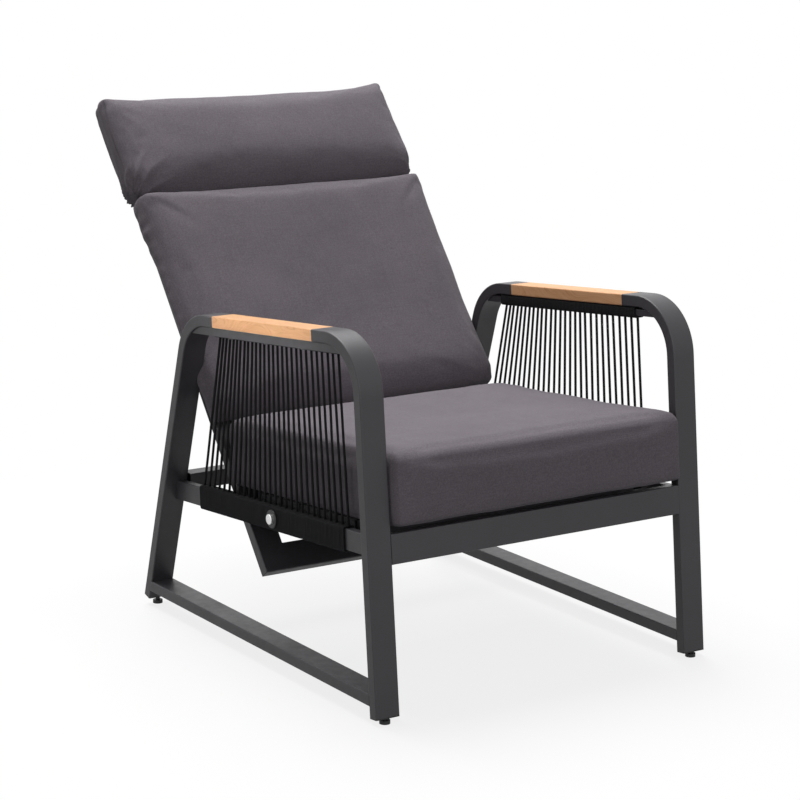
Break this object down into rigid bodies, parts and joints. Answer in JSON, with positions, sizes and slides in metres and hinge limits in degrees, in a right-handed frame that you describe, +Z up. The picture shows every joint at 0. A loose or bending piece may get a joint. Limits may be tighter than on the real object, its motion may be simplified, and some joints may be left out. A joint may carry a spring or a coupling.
{
  "type": "reclining garden armchair",
  "caption": "Reclining garden armchair: sloped tube loops, wooden arm rests, rope side panels, padded seat, back and headrest on a gas spring freed by a side button.",
  "frame": {"origin": "middle of the box that the chair fills at rest, on the floor", "axes": "+Z up, +Y to the rear of the chair, +X to the sitter's left; the front faces -Y"},
  "size_m": [0.68, 1.0384, 0.9138],
  "materials": {
    "frame_paint": "satin powder coat, dark grey",
    "arm_wood": "oiled honey hardwood",
    "rope": "matt black outdoor rope",
    "cushion_fabric": "mid grey outdoor weave",
    "webbing": "black webbing",
    "black_plastic": "matt black",
    "bezel_plastic": "gloss black",
    "button_metal": "brushed",
    "steel": "zinc plated",
    "spring_paint": "gloss black",
    "rod_chrome": "polished"
  },
  "bodies": {
    "chair_frame": {"front_leg_left": "frame_paint", "front_leg_right": "frame_paint", "rear_leg_left": "frame_paint", "rear_leg_right": "frame_paint", "floor_runner_left": "frame_paint", "floor_runner_right": "frame_paint", "arm_rest_left": "arm_wood", "arm_rest_right": "arm_wood", "arm_bar_left": "frame_paint", "arm_bar_right": "frame_paint", "arm_screws": "steel", "upper_rope_rail_left": "frame_paint", "upper_rope_rail_right": "frame_paint", "side_rail_left": "frame_paint", "side_rail_right": "frame_paint", "rope_panel_left": "rope", "rope_panel_right": "rope", "front_rail": "frame_paint", "rear_rail": "frame_paint", "leg_plugs": "black_plastic", "floor_glides": "black_plastic", "front_crossbar": "frame_paint", "rear_crossbar": "frame_paint", "seat_frame": "frame_paint", "seat_straps": "webbing", "seat_cushion": "cushion_fabric", "pivot_bosses": "steel", "pivot_bolts": "steel", "spring_bracket_front": "frame_paint", "spring_pin_front": "steel", "button_housing": "bezel_plastic"},
    "back": {"back_stile_left": "frame_paint", "back_stile_right": "frame_paint", "back_top_tube": "frame_paint", "back_bottom_tube": "frame_paint", "back_straps": "webbing", "back_strap_clamps": "steel", "pivot_bushes": "black_plastic", "spring_bracket_rear": "frame_paint", "spring_pin_rear": "steel", "back_cushion": "cushion_fabric", "headrest": "cushion_fabric"},
    "spring_cylinder": {"gas_spring_cylinder": "spring_paint"},
    "spring_rod": {"gas_spring_rod": "rod_chrome"},
    "button": {"release_button": "button_metal"}
  },
  "joints": [
    {"name": "back_recline", "type": "hinge", "parent": "chair_frame", "child": "back", "pos_m": [0, 0.0012, 0.24574], "axis": [-1, 0, 0], "range_deg": [-22.5, 0]},
    {"name": "spring_swing", "type": "hinge", "parent": "chair_frame", "child": "spring_cylinder", "pos_m": [0, -0.37016, 0.26824], "axis": [1, 0, 0], "range_deg": [-3.4, 0]},
    {"name": "spring_stroke", "type": "slide", "parent": "spring_cylinder", "child": "spring_rod", "axis": [0, 0.9611, -0.2763], "range_m": [0, 0.0356]},
    {"name": "button_push", "type": "slide", "parent": "chair_frame", "child": "button", "axis": [1, 0, 0], "range_m": [0, 0.0035], "stiffness_N_per_m": 900}
  ],
  "couplings": [
    {"joint": "spring_swing", "follows": "back_recline", "ratio": 0.1434},
    {"joint": "spring_stroke", "follows": "back_recline", "m_per_rad": -0.08977}
  ]
}
